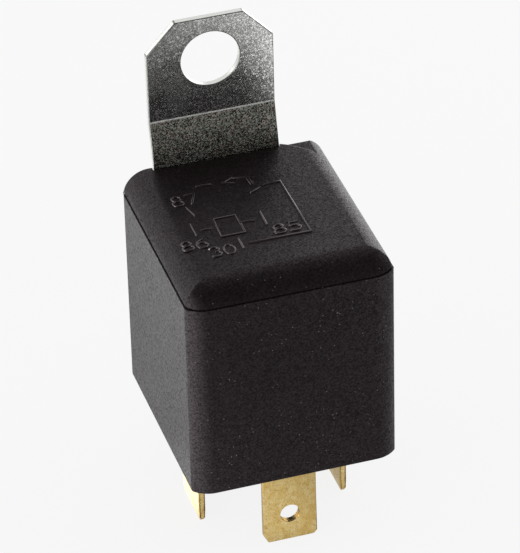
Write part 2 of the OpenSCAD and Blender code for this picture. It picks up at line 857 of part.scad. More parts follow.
cover_sleeve();
cover_cap();
mounting_bracket();
base();
blade_87();
blade_86();
blade_85();
blade_30();
yoke();
core();
bobbin();
winding();
coil_lead_86();
coil_lead_85();
armature();
contact_leaf();
leaf_rivets();
moving_contact();
fixed_contact();
return_spring();
flexible_braid();
base_rivets();
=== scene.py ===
"""Looks, light and camera of the automotive relay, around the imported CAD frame."""

import math

import bmesh
import bpy
from mathutils import Matrix, Vector


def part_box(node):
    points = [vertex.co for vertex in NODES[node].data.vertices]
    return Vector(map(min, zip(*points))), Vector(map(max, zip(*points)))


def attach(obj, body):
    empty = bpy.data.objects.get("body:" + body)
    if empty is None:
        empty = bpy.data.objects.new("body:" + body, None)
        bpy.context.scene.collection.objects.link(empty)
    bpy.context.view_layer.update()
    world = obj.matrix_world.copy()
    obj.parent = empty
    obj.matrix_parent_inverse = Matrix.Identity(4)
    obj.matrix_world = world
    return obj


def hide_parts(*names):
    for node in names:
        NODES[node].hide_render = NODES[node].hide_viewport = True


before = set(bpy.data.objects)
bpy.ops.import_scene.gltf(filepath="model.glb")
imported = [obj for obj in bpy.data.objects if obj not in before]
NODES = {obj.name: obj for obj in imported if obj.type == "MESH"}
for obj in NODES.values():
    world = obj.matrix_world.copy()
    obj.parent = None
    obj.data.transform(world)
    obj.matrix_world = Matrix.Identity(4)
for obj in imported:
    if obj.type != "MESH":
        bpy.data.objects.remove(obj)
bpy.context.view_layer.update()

MM = 0.001
HOUSING = "housing"


# ---------- places taken from the frame ----------

SLEEVE_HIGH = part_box("cover_sleeve")[1]
TOP_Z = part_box("cover_cap")[1].z
FLOOR_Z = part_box("blade_87")[0].z

# The line across the bracket where it bends back
BEND_Z = TOP_Z + 5.25 * MM


# ---------- node helpers ----------

def new_material(name):
    """A material with its node tree and its Principled shader."""
    material = bpy.data.materials.new(name)
    material.use_nodes = True
    tree = material.node_tree
    return material, tree, tree.nodes["Principled BSDF"]


def plug(tree, socket, value):
    """Links a socket to another one, or sets it to a plain value."""
    if isinstance(value, bpy.types.NodeSocket):
        tree.links.new(value, socket)
    else:
        socket.default_value = value


def plug_all(tree, node, inputs):
    """Links or sets a node's inputs, which are given by name or by number."""
    for key, value in inputs.items():
        plug(tree, node.inputs[key], value)


def add(tree, kind, inputs=None, **settings):
    """A new node with its settings, and its inputs linked or set."""
    node = tree.nodes.new(kind)
    for key, value in settings.items():
        setattr(node, key, value)
    plug_all(tree, node, inputs or {})
    return node


def maths(tree, operation, a, b=0.0):
    """The result of a Math node."""
    return add(tree, "ShaderNodeMath", {0: a, 1: b}, operation=operation).outputs[0]


def plus(tree, a, b):
    return maths(tree, "ADD", a, b)


def minus(tree, a, b):
    return maths(tree, "SUBTRACT", a, b)


def times(tree, a, b):
    return maths(tree, "MULTIPLY", a, b)


def vector_maths(tree, operation, inputs, out=0):
    """The result of a Vector Math node, whose lengths and dot products come out as Value."""
    return add(tree, "ShaderNodeVectorMath", inputs, operation=operation).outputs[out]


def spread(tree, value, low, high, to_low=0.0, to_high=1.0, smooth=False):
    """Maps low to high onto to_low to to_high, and holds it there."""
    return add(tree, "ShaderNodeMapRange", {
        "Value": value, "From Min": low, "From Max": high, "To Min": to_low, "To Max": to_high,
    }, interpolation_type="SMOOTHSTEP" if smooth else "LINEAR").outputs["Result"]


def choose(tree, factor, a, b):
    """Number a where factor is 0, number b where it is 1."""
    return add(tree, "ShaderNodeMix", {0: factor, 2: a, 3: b}, data_type="FLOAT").outputs[0]


def with_alpha(colour):
    """A colour socket as it is, or a plain colour made opaque."""
    return colour if isinstance(colour, bpy.types.NodeSocket) else (*colour, 1)


def blend(tree, factor, a, b):
    """Colour a where factor is 0, colour b where it is 1."""
    return add(tree, "ShaderNodeMix", {0: factor, 6: with_alpha(a), 7: with_alpha(b)},
               data_type="RGBA").outputs[2]


def object_place(tree):
    """Object coordinates in metres."""
    return add(tree, "ShaderNodeTexCoord").outputs["Object"]


def place(tree, stretch=(1, 1, 1), turn=(0, 0, 0)):
    """Object coordinates in metres, stretched and turned."""
    return add(tree, "ShaderNodeMapping", {
        "Vector": object_place(tree), "Scale": stretch, "Rotation": turn}).outputs["Vector"]


def part_of(tree, vector, which):
    """One coordinate of a vector."""
    return add(tree, "ShaderNodeSeparateXYZ", {"Vector": vector}).outputs[which]


def axis(tree, which):
    """One object coordinate, in metres."""
    return part_of(tree, object_place(tree), which)


def surface_normal(tree):
    return add(tree, "ShaderNodeNewGeometry").outputs["Normal"]


def noise(tree, size, detail=2.0, where=None, roughness=0.5):
    """Noise from 0 to 1 whose features are about size metres across."""
    return add(tree, "ShaderNodeTexNoise", {
        "Vector": where or place(tree), "Scale": 1 / size,
        "Detail": detail, "Roughness": roughness}).outputs["Fac"]


def cells(tree, size, where, out="Distance"):
    """Scattered cells about size metres across: how far their centres are, or a Color for each."""
    return add(tree, "ShaderNodeTexVoronoi", {"Vector": where, "Scale": 1 / size}).outputs[out]


def random_cells(tree, size, where):
    """A random number from 0 to 1 for each cell of about size metres."""
    colour = cells(tree, size, where, "Color")
    return add(tree, "ShaderNodeSeparateColor", {"Color": colour}).outputs[0]


def ripple(tree, value, pitch):
    """A sine along value, from 0 to 1, that repeats every pitch metres."""
    return spread(tree, maths(tree, "SINE", times(tree, value, 2 * math.pi / pitch)), -1, 1)


def bump(tree, height, depth, normal=None):
    """A bump whose full height is depth metres, on top of another normal if one is given."""
    node = add(tree, "ShaderNodeBump", {"Height": height, "Strength": 1.0, "Distance": depth})
    if normal is not None:
        tree.links.new(normal, node.inputs["Normal"])
    return node.outputs["Normal"]


def facets(tree, size, tilt, where):
    """The surface's normal, broken into facets of about size metres that lean up to tilt each
    way, where tilt is a number or a socket."""
    colour = cells(tree, size, where, "Color")
    lean = vector_maths(tree, "SUBTRACT", {0: colour, 1: (0.5, 0.5, 0.5)})
    lean = vector_maths(tree, "SCALE", {0: lean, "Scale": times(tree, tilt, 2)})
    total = vector_maths(tree, "ADD", {0: surface_normal(tree), 1: lean})
    return vector_maths(tree, "NORMALIZE", {0: total})


# ---------- plastic ----------

PLASTIC_DARK = (0.0022, 0.0013, 0.0016)
PLASTIC_LIGHT = (0.0078, 0.0048, 0.0056)
PLASTIC_SHEEN = (1.0, 0.85, 0.89, 1)
DUST = (0.24, 0.225, 0.225)
NICK = (0.40, 0.39, 0.39)

# The size of the plastic's grain, and how strongly its gloss differs from cell to cell
GRAIN = 0.15 * MM
GRAIN_CONTRAST = 0.60
SIDE_GRAIN = 0.20 * MM
SIDE_CONTRAST = 0.80

# How far along X a side face looks at the least
SIDE_FACING = 0.93

# The height of the nicks' line, and its half width where it ends and where it is full
NICKS_Z = SLEEVE_HIGH.z + 0.04 * MM
NICKS_END = 0.14 * MM
NICKS_FULL = 0.09 * MM


def on_sides(tree):
    """1 on faces that look along X, 0 on the others."""
    across = part_of(tree, surface_normal(tree), "X")
    return maths(tree, "GREATER_THAN", maths(tree, "ABSOLUTE", across), SIDE_FACING)


def dust_and_scratches(tree, where):
    """Specks of dust that lie in patches, and a few fainter scratches."""
    patches = spread(tree, noise(tree, 2.2 * MM, 2, where), 0.43, 0.60)
    specks = times(tree, spread(tree, cells(tree, 0.55 * MM, where), 0.12, 0.06), patches)
    along = place(tree, (1, 1, 0.06), (0.35, 0.3, 0))
    scratches = spread(tree, noise(tree, 0.5 * MM, 1, along), 0.80, 0.84)
    return maths(tree, "MAXIMUM", specks, times(tree, scratches, 0.35))


def seam_nicks(tree, where):
    """Nicks along the cap's lower edge, on the side faces."""
    off = maths(tree, "ABSOLUTE", minus(tree, axis(tree, "Z"), NICKS_Z))
    spots = spread(tree, noise(tree, 0.5 * MM, 2, where), 0.62, 0.67)
    nicks = times(tree, spread(tree, off, NICKS_END, NICKS_FULL), spots)
    return times(tree, nicks, on_sides(tree))


def grainy_gloss(tree, grain, where):
    """A specular level round 0.5 that differs from cell to cell, and most on the side faces."""
    gloss = choose(tree, on_sides(tree), random_cells(tree, GRAIN, where),
                   random_cells(tree, SIDE_GRAIN, place(tree, (1, 0.8, 1))))
    contrast = spread(tree, on_sides(tree), 0, 1, GRAIN_CONTRAST, SIDE_CONTRAST)
    return plus(tree, times(tree, minus(tree, gloss, 0.5), times(tree, contrast, grain)), 0.5)


def black_plastic(name, grain=1.0, dust=1.0, dullness=0.30):
    """Black moulded plastic with a spark-eroded grain, pale dust, scratches and nicks.
    grain and dust are shares of the full amount, and dullness is the least roughness."""
    material, tree, shader = new_material(name)
    where = place(tree)
    cloud = noise(tree, 6 * MM, 3, where)
    fine = noise(tree, 0.13 * MM, 2, where, 0.6)
    coarse = noise(tree, 0.30 * MM, 2, where)
    tone = plus(tree, times(tree, cloud, 0.4), times(tree, fine, 0.6))
    colour = blend(tree, spread(tree, tone, 0.35, 0.65), PLASTIC_DARK, PLASTIC_LIGHT)
    colour = blend(tree, times(tree, dust_and_scratches(tree, where), dust), colour, DUST)
    colour = blend(tree, seam_nicks(tree, where), colour, NICK)
    surface = plus(tree, fine, times(tree, coarse, 0.5))
    eroded = facets(tree, GRAIN, 0.05 * grain, where)
    plug_all(tree, shader, {
        "Base Color": colour,
        "Roughness": spread(tree, fine, 0.3, 0.7, dullness, dullness + 0.18),
        "IOR": 1.35,
        "Specular IOR Level": grainy_gloss(tree, grain, where),
        "Specular Tint": PLASTIC_SHEEN,
        "Normal": bump(tree, surface, 0.018 * MM * grain, eroded),
    })
    return material


def engraved_plastic(name):
    """The same plastic where the mould was cut by a tool: smoother, with a soft gloss."""
    material, tree, shader = new_material(name)
    patches = noise(tree, 0.8 * MM)
    plug_all(tree, shader, {
        "Base Color": blend(tree, patches, PLASTIC_DARK, PLASTIC_LIGHT),
        "Roughness": spread(tree, patches, 0.3, 0.7, 0.12, 0.22),
        "IOR": 1.85,
        "Specular Tint": PLASTIC_SHEEN,
        "Normal": bump(tree, noise(tree, 0.15 * MM), 0.010 * MM),
    })
    return material


def natural_nylon(name):
    """Unpigmented moulding: cream, slightly clouded, with a soft gloss."""
    material, tree, shader = new_material(name)
    cloud = noise(tree, 2 * MM, 3)
    flow = noise(tree, 0.3 * MM, 2, place(tree, (1, 1, 0.3)))
    plug_all(tree, shader, {
        "Base Color": blend(tree, cloud, (0.66, 0.61, 0.48), (0.80, 0.76, 0.64)),
        "Roughness": spread(tree, flow, 0.3, 0.7, 0.26, 0.40),
        "Subsurface Weight": 0.1,
        "Subsurface Scale": 0.4 * MM,
        "Normal": bump(tree, flow, 0.008 * MM),
    })
    return material


# ---------- metal ----------

ZINC_CRYSTAL = 0.12 * MM
ZINC_TINT = (0.82, 0.82, 0.80)
ZINC_BROWN = (0.54, 0.475, 0.415)
ZINC_GREEN = (0.46, 0.50, 0.44)
ZINC_CREVICE = (0.04, 0.037, 0.033)
# The press scuff along the bend, painted pale as a highlight
ZINC_SCUFF_HIGHLIGHT = (0.80, 0.80, 0.78)

# What a dull crystal has of the full colour, and what the strip's back keeps of it under painted
# shade
ZINC_DULL = 0.68
ZINC_BACK_SHADE = 0.42

BRASS_DEEP = (0.70, 0.48, 0.155)
BRASS_PALE = (0.83, 0.65, 0.30)
# The colour of the dull pits, and of the painted shade near the housing
BRASS_PIT_AND_SHADE = (0.36, 0.24, 0.09)

WIRE_PITCH = 0.24 * MM
BRAID_PITCH = 0.42 * MM


def zinc(name, bend_z=None, shine=1.0):
    """Galvanised steel: small bright and dull crystals that lean each their own way.
    Below bend_z it is stained, along bend_z it is scuffed by the press and painted pale as a
    highlight, and its back is painted darker as shade."""
    material, tree, shader = new_material(name)
    where = place(tree)
    tone = random_cells(tree, ZINC_CRYSTAL, where)
    tilt = spread(tree, tone, 0.6, 0.95, 0.03, 0.07)
    fine = noise(tree, 0.16 * MM, 3, where, 0.65)
    patches = noise(tree, 2.5 * MM, 3, where)
    mottle = plus(tree, times(tree, tone, 0.5), times(tree, fine, 0.5))
    pale = tuple(shine * c for c in ZINC_TINT)
    dull = tuple(ZINC_DULL * c for c in pale)
    colour = blend(tree, spread(tree, mottle, 0.25, 0.70), dull, pale)
    rough = plus(tree, spread(tree, patches, 0.3, 0.7, 0.22, 0.30),
                 spread(tree, tone, 0, 1, 0.04, -0.06))
    metal = spread(tree, tone, 0.5, 1.0, 0.995, 0.88)
    if bend_z is not None:
        height = axis(tree, "Z")
        stain_and_shade = spread(tree, noise(tree, 0.4 * MM, 2, where), 0.4, 0.6)
        stain_and_shade = blend(tree, stain_and_shade, ZINC_BROWN, ZINC_GREEN)
        stain_and_shade = blend(tree, spread(tree, mottle, 0.34, 0.62), ZINC_CREVICE, stain_and_shade)
        below = spread(tree, height, bend_z + 0.1 * MM, bend_z - 0.1 * MM)
        colour = blend(tree, below, colour, stain_and_shade)
        # Along the bend, a press scuff that is painted pale and less metallic as a painted
        # highlight
        off = maths(tree, "ABSOLUTE", minus(tree, height, bend_z))
        scuff_highlight = times(tree, spread(tree, off, 0.13 * MM, 0.06 * MM),
                      spread(tree, fine, 0.25, 0.55, 0.4, 1))
        colour = blend(tree, scuff_highlight, colour, ZINC_SCUFF_HIGHLIGHT)
        rough = plus(tree, rough, times(tree, scuff_highlight, 0.3))
        metal = minus(tree, metal, times(tree, scuff_highlight, 0.25))
        # Painted shade: faces that look backwards are darkened
        backwards = part_of(tree, surface_normal(tree), "Y")
        back = spread(tree, backwards, 0.3, 0.6, 1.0, ZINC_BACK_SHADE)
        colour = vector_maths(tree, "SCALE", {0: colour, "Scale": back})
    crystals = facets(tree, ZINC_CRYSTAL, tilt, where)
    plug_all(tree, shader, {
        "Base Color": colour,
        "Metallic": metal,
        "Roughness": rough,
        "Normal": bump(tree, fine, 0.003 * MM, crystals),
    })
    return material


def sheared_steel(name):
    """The cut edge of a steel sheet: bright, with fine lines across the sheet."""
    material, tree, shader = new_material(name)
    lines = noise(tree, 0.12 * MM, 2, place(tree, (1, 0.1, 1)))
    patches = noise(tree, 1.2 * MM)
    plug_all(tree, shader, {
        "Base Color": blend(tree, patches, (0.66, 0.66, 0.64), (0.80, 0.80, 0.78)),
        "Metallic": 1.0,
        "Roughness": spread(tree, patches, 0.3, 0.7, 0.28, 0.40),
        "Normal": bump(tree, lines, 0.006 * MM),
    })
    return material


def brass(name):
    """Rolled brass: satin, mottled by handling, with small dull pits, and painted shade near the
    housing.
    """
    material, tree, shader = new_material(name)
    where = place(tree, turn=(0.5, 0.4, 0.7))
    mottle = noise(tree, 0.9 * MM, 4, where, 0.65)
    pits = noise(tree, 0.17 * MM, 2, where, 0.6)
    streaks = noise(tree, 0.4 * MM, 2, place(tree, (1, 1, 0.15)))
    colour = blend(tree, spread(tree, mottle, 0.38, 0.66), BRASS_DEEP, BRASS_PALE)
    # Painted shade: darker towards the housing, with a ragged edge; the pits are real
    ragged = spread(tree, mottle, 0.3, 0.7, -1.0 * MM, 1.2 * MM)
    stain_and_shade = spread(tree, plus(tree, axis(tree, "Z"), ragged), -2.6 * MM, -0.4 * MM, 0, 0.75, True)
    dull = maths(tree, "MAXIMUM", stain_and_shade, spread(tree, pits, 0.55, 0.68, 0, 0.8))
    surface = plus(tree, mottle, times(tree, pits, 0.6))
    plug_all(tree, shader, {
        "Base Color": blend(tree, dull, colour, BRASS_PIT_AND_SHADE),
        "Metallic": 1.0,
        "Roughness": plus(tree, spread(tree, streaks, 0.3, 0.7, 0.20, 0.32),
                          times(tree, dull, 0.15)),
        "Normal": bump(tree, surface, 0.024 * MM),
    })
    return material


def worked_metal(name, deep, pale, roughness, grain=0.25 * MM):
    """Pressed or turned metal: two close tones in a fine grain, with soft tool lines."""
    material, tree, shader = new_material(name)
    mottle = noise(tree, grain, 3, place(tree), 0.6)
    lines = noise(tree, 0.12 * MM, 2, place(tree, (0.08, 1, 1)))
    plug_all(tree, shader, {
        "Base Color": blend(tree, spread(tree, mottle, 0.35, 0.65), deep, pale),
        "Metallic": 1.0,
        "Roughness": spread(tree, mottle, 0.3, 0.7, roughness - 0.05, roughness + 0.08),
        "Normal": bump(tree, plus(tree, mottle, lines), 0.010 * MM),
    })
    return material


def wound_wire(name, turns=True):
    """Enamelled copper wire; with turns, laid side by side round the coil, with painted shade
    between them.
    """
    material, tree, shader = new_material(name)
    shade = noise(tree, 0.9 * MM, 3)
    # With turns, the colour is painted darker between them as shade; without, it is darker in
    # random patches
    height = ripple(tree, axis(tree, "Z"), WIRE_PITCH) if turns else noise(tree, 0.2 * MM)
    depth = 0.06 * MM if turns else 0.005 * MM
    crest = blend(tree, spread(tree, shade, 0.3, 0.7), (0.34, 0.085, 0.025), (0.56, 0.17, 0.055))
    plug_all(tree, shader, {
        "Base Color": blend(tree, height, (0.16, 0.035, 0.012), crest),
        "Metallic": 0.85,
        "Roughness": spread(tree, shade, 0.3, 0.7, 0.22, 0.34),
        "Coat Weight": 0.6,
        "Coat Roughness": 0.12,
        "Normal": bump(tree, height, depth),
    })
    return material


def woven_copper(name):
    """Copper braid: strands that cross over and under, with painted shade between them."""
    material, tree, shader = new_material(name)
    length = plus(tree, axis(tree, "Y"), axis(tree, "Z"))
    across = axis(tree, "X")
    one = ripple(tree, plus(tree, across, length), BRAID_PITCH)
    other = ripple(tree, minus(tree, across, length), BRAID_PITCH)
    # Painted shade: darker where the strands dip between their crossings
    weave = maths(tree, "MAXIMUM", one, other)
    plug_all(tree, shader, {
        "Base Color": blend(tree, spread(tree, weave, 0.3, 0.9),
                            (0.14, 0.045, 0.02), (0.80, 0.36, 0.19)),
        "Metallic": 1.0,
        "Roughness": spread(tree, noise(tree, 0.3 * MM), 0.3, 0.7, 0.30, 0.42),
        "Normal": bump(tree, weave, 0.08 * MM),
    })
    return material


# ---------- mesh helpers ----------

# Angles in degrees from which an edge is eased, and from which it is shaded sharp
EASED_FROM = 32
CREASE = 32

# The bevel's own number for taking the material of the faces beside it
MATERIAL_BESIDE = -1


def new_piece(name, mesh, body=HOUSING):
    """An object for a mesh, riding on a body."""
    piece = bpy.data.objects.new(name, mesh)
    bpy.context.scene.collection.objects.link(piece)
    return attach(piece, body)


def shade_smooth(mesh, crease):
    """Smooth shading with sharp edges from crease degrees up."""
    mesh.shade_smooth()
    mesh.set_sharp_from_angle(angle=math.radians(crease))


def eased_mesh(node, share):
    """A CAD node's mesh with a bevel weight on each sharp edge, from its middle and its angle."""
    mesh = NODES[node].data.copy()
    form = bmesh.new()
    form.from_mesh(mesh)
    bmesh.ops.remove_doubles(form, verts=form.verts, dist=0.001 * MM)
    bmesh.ops.dissolve_limit(form, angle_limit=math.radians(0.5), verts=form.verts,
                             edges=form.edges)
    weights = form.edges.layers.float.new("bevel_weight_edge")
    for edge in form.edges:
        angle = edge.calc_face_angle(0) if len(edge.link_faces) == 2 else 0
        if angle > math.radians(EASED_FROM):
            middle = (edge.verts[0].co + edge.verts[1].co) / 2
            edge[weights] = share(middle, angle) if share else 1.0
    form.to_mesh(mesh)
    form.free()
    if "custom_normal" in mesh.attributes:
        mesh.attributes.remove(mesh.attributes["custom_normal"])
    return mesh


def eased_copy(node, name, width, material, segments=2, share=None, crease=CREASE,
               edge_material=MATERIAL_BESIDE):
    """A copy of a CAD node whose sharp edges are rounded by width, standing for the node.
    share gives the part of width that an edge gets, from its middle and its angle."""
    mesh = eased_mesh(node, share)
    mesh.materials.clear()
    mesh.materials.append(material)
    shade_smooth(mesh, crease)
    piece = new_piece(name, mesh)
    bevel = piece.modifiers.new("eased_edges", "BEVEL")
    bevel.width = width
    bevel.segments = segments
    bevel.limit_method = "WEIGHT"
    bevel.use_clamp_overlap = False
    bevel.material = edge_material
    shading = piece.modifiers.new("weighted_normals", "WEIGHTED_NORMAL")
    shading.keep_sharp = True
    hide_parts(node)
    return piece


# ---------- relief on the cap ----------

RELIEF_HEIGHT = 0.16 * MM
RELIEF_HALF_WIDTH = 0.135 * MM
RELIEF_SINK = 0.02 * MM
RELIEF_CREASE = 50

# At a sharp corner a ridge widens to its width / MITRE_LIMIT at most
MITRE_LIMIT = 0.5

# Lines of the wiring diagram, in millimetres on the cap's plane
DIAGRAM = [
    # coil and its two leads
    [(-5.0, 0.3), (-2.4, 0.3), (-2.4, -3.3), (-5.1, -3.3), (-5.0, 0.3)],
    [(-6.9, -1.35), (-5.6, -1.4)],
    [(-7.6, 0.2), (-7.6, -2.3)],
    [(-2.4, -1.3), (-0.7, -1.4)],
    [(0.3, 0.0), (0.3, -2.7)],
    # contact and its line round to the supply blade
    [(-4.9, 7.2), (-3.1, 7.1)],
    [(-0.5, 7.6), (-1.8, 6.9), (-0.6, 6.4)],
    [(-0.5, 7.5), (1.1, 7.0)],
    [(1.2, 7.3), (1.4, 5.6)],
    [(0.9, 7.3), (1.1, 5.6)],
    [(0.5, 4.0), (1.8, 4.7)],
    [(2.3, 5.1), (4.3, 5.1), (4.4, -5.5), (-2.8, -5.4)],
    [(-3.5, -4.3), (-3.5, -6.3)],
    [(-7.1, 3.5), (-6.6, 1.6)],
]

# Terminal numbers: their lower left corner, width and height in millimetres on the cap's plane
TERMINALS = [
    ("87", -8.3, 4.0, 2.9, 1.9),
    ("86", -9.8, -4.7, 2.9, 1.7),
    ("85", 0.6, -4.8, 3.1, 1.7),
    ("30", -7.2, -6.8, 2.8, 1.8),
]

# Shares of the pitch between figures: the gap, and what a figure's unit of width measures
FIGURE_GAP = 0.22
FIGURE_UNIT = 1.3


def arc(cx, cy, rx, ry, start, end, count=14):
    """Points of an elliptical arc, from start to end in degrees."""
    angles = [math.radians(start + (end - start) * i / (count - 1)) for i in range(count)]
    return [(cx + rx * math.cos(a), cy + ry * math.sin(a)) for a in angles]


def digit(figure):
    """Strokes of a figure in a box that is 0.6 wide and 1 high."""
    if figure == "0":
        return [arc(0.3, 0.5, 0.3, 0.5, 0, 360, 24)]
    if figure == "3":
        return [arc(0.28, 0.75, 0.27, 0.25, 150, -90), arc(0.28, 0.27, 0.30, 0.27, 90, -150)]
    if figure == "5":
        return [[(0.55, 1), (0.1, 1), (0.05, 0.55)], arc(0.28, 0.31, 0.30, 0.31, 130, -150, 18)]
    if figure == "6":
        return [arc(0.3, 0.3, 0.29, 0.3, 0, 360, 22), arc(0.55, 0.3, 0.54, 0.7, 180, 100, 10)]
    if figure == "7":
        return [[(0.02, 1), (0.58, 1), (0.2, 0)]]
    return [arc(0.3, 0.76, 0.24, 0.24, 0, 360, 20), arc(0.3, 0.26, 0.29, 0.26, 0, 360, 22)]


def number(figures, x, y, width, height):
    """Strokes of a row of figures, with its lower left corner at x, y."""
    pitch = width / (len(figures) - FIGURE_GAP)
    strokes = []
    for i, figure in enumerate(figures):
        for stroke in digit(figure):
            strokes.append([(x + (i + u * FIGURE_UNIT) * pitch, y + v * height)
                            for u, v in stroke])
    return strokes


def ridge_section():
    """A ridge's section, from one foot over the crest to the other: distance aside and height."""
    angles = [math.radians(a) for a in (0, 18, 36, 54, 72)]
    rise = [(RELIEF_HALF_WIDTH * math.cos(a), RELIEF_HEIGHT * math.sin(a)) for a in angles]
    half = [(RELIEF_HALF_WIDTH, -RELIEF_SINK)] + rise
    return half + [(-u, v) for u, v in reversed(half)]


def ridge(form, stroke):
    """Sweeps the ridge's section along a stroke on the cap's plane, with mitred corners."""
    points = [Vector((x * MM, y * MM, TOP_Z)) for x, y in stroke]
    closed = (points[0] - points[-1]).length < 0.01 * MM
    if closed:
        points.pop()
    section = ridge_section()
    last = len(points) - 1
    rings = []
    for i, point in enumerate(points):
        before = points[i - 1] if closed or i > 0 else point
        after = points[(i + 1) % len(points)] if closed or i < last else point
        ahead = [(b - a).normalized() for a, b in ((before, point), (point, after))
                 if (b - a).length]
        along = (ahead[0] + ahead[-1]).normalized()
        aside = Vector((-along.y, along.x, 0)) / max(MITRE_LIMIT, along.dot(ahead[0]))
        ring = [point + aside * u + Vector((0, 0, v)) for u, v in section]
        if closed or 0 < i < last:
            rings.append(ring)
            continue
        out = along * RELIEF_HALF_WIDTH / 2 * (-1 if i == 0 else 1)
        tip = [point + out + aside * u + Vector((0, 0, -RELIEF_SINK)) for u, _ in section]
        rings += [tip, ring] if i == 0 else [ring, tip]
    verts = [[form.verts.new(p) for p in ring] for ring in rings]
    pairs = list(zip(verts, verts[1:])) + ([(verts[-1], verts[0])] if closed else [])
    for a, b in pairs:
        for j in range(len(section)):
            k = (j + 1) % len(section)
            form.faces.new((a[j], a[k], b[k], b[j]))


def relief(name, strokes, material):
    """Raised lines along the strokes, standing on the cap's plane."""
    form = bmesh.new()
    for stroke in strokes:
        ridge(form, stroke)
    bmesh.ops.remove_doubles(form, verts=form.verts, dist=0.0001 * MM)
    bmesh.ops.recalc_face_normals(form, faces=form.faces)
    mesh = bpy.data.meshes.new(name)
    form.to_mesh(mesh)
    form.free()
    mesh.materials.append(material)
    shade_smooth(mesh, RELIEF_CREASE)
    piece = new_piece(name, mesh)
    return piece


# ---------- pieces ----------

# The housing's bevel is as wide as its widest edge, and the other edges get a share of it
SOFT_EDGE = 0.34 * MM
EDGE_SHARE = 0.12 * MM / SOFT_EDGE
SEAM_SHARE = 0.036 * MM / SOFT_EDGE
SEAM_REACH = 0.5 * MM

# Where a side face runs into a front corner: how far in along X, between which Y, and below
# which angle the edge is soft. The cap's corner edge runs out from CORNER_FULL down to EASED_FROM
CORNER_DEPTH = 0.8 * MM
CORNER_FROM_Y = -12.0 * MM
CORNER_TO_Y = -10.5 * MM
CORNER_BELOW = 60
CORNER_FULL = 40
CORNER_SHARE = 0.8

# The round step on the cap's top, which runs out beyond LEDGE_RUNS_OUT along X: how far off its
# radius and how far below the top its edges lie, and how near the top its upper edge is
LEDGE_CENTRE = Vector((2.7 * MM, 5.1 * MM))
LEDGE_RADIUS = 8.6 * MM
LEDGE_RUNS_OUT = 9.2 * MM
LEDGE_OFF = 0.1 * MM
LEDGE_DEPTH = 0.5 * MM
LEDGE_UPPER = 0.05 * MM

# How far along Y the strip's plated faces look at the least
STRIP_FACING = 0.7

# A blade's widest edge, which only its tip has, how high the tip reaches, and the share of the
# other edges
BLADE_EDGE = 0.16 * MM
BLADE_TIP_Z = FLOOR_Z + 1.3 * MM
BLADE_SHARE = 0.3
BLADE_CREASE = 45


def near_seam(point):
    return abs(point.z - SLEEVE_HIGH.z) < SEAM_REACH


def on_soft_corner(point, angle):
    """Whether a side face runs into a front corner here, at an angle that is soft."""
    return (abs(point.x) > SLEEVE_HIGH.x - CORNER_DEPTH
            and CORNER_FROM_Y < point.y < CORNER_TO_Y
            and angle < math.radians(CORNER_BELOW))


def sleeve_share(point, angle):
    """The share of SOFT_EDGE that an edge of the sleeve gets."""
    if on_soft_corner(point, angle):
        return CORNER_SHARE
    return SEAM_SHARE if near_seam(point) else EDGE_SHARE


def cap_share(point, angle):
    """The share of SOFT_EDGE that an edge of the cap gets."""
    if on_soft_corner(point, angle):
        past = angle - math.radians(EASED_FROM)
        return CORNER_SHARE * past / math.radians(CORNER_FULL - EASED_FROM)
    off = abs((point.xy - LEDGE_CENTRE).length - LEDGE_RADIUS)
    if off < LEDGE_OFF and point.z > TOP_Z - LEDGE_DEPTH:
        if point.x > LEDGE_RUNS_OUT:
            return 0.0
        return 1.0 if point.z > TOP_Z - LEDGE_UPPER else SEAM_SHARE
    return SEAM_SHARE if near_seam(point) else EDGE_SHARE


def blade_share(point, angle):
    """A blade's tip has worn corners, its slopes run in softly, and its other edges are broken."""
    if angle < math.radians(BLADE_CREASE):
        return 0.0
    return 1.0 if point.z < BLADE_TIP_Z else BLADE_SHARE


def build_housing():
    """Sleeve, cap with its raised diagram and terminal numbers, and base."""
    plastic = black_plastic("black_plastic")
    cap_plastic = black_plastic("cap_plastic", dust=0.5, dullness=0.36)
    eased_copy("cover_sleeve", "housing_sleeve", SOFT_EDGE, plastic,
               segments=3, share=sleeve_share)
    eased_copy("cover_cap", "housing_cap", SOFT_EDGE, cap_plastic,
               segments=4, share=cap_share)
    numbers = [stroke for terminal in TERMINALS for stroke in number(*terminal)]
    relief("cap_diagram", DIAGRAM + numbers, engraved_plastic("engraved_plastic"))
    base_plastic = black_plastic("base_plastic", grain=0.7, dust=0.3)
    eased_copy("base", "base_plate", 0.06 * MM, base_plastic)


def build_bracket():
    """The steel strip: plated faces, bright sheared sides, and eased edges painted dark as shade.
    """
    steel = zinc("zinc_steel", BEND_Z)
    piece = eased_copy("mounting_bracket", "steel_bracket", 0.11 * MM, steel,
                       segments=3, crease=12, edge_material=2)
    piece.data.materials.append(sheared_steel("sheared_steel"))
    # Painted shade: the eased edges get a dark steel
    edge_steel_shade = worked_metal("edge_steel_shade", (0.16, 0.16, 0.15), (0.34, 0.34, 0.32), 0.35)
    piece.data.materials.append(edge_steel_shade)
    for face in piece.data.polygons:
        if abs(face.normal.y) < STRIP_FACING:
            face.material_index = 1


def build_blades():
    metal = brass("blade_brass")
    for terminal in ("87", "86", "85", "30"):
        eased_copy(f"blade_{terminal}", f"brass_blade_{terminal}", BLADE_EDGE, metal,
                   segments=3, share=blade_share, crease=BLADE_CREASE)


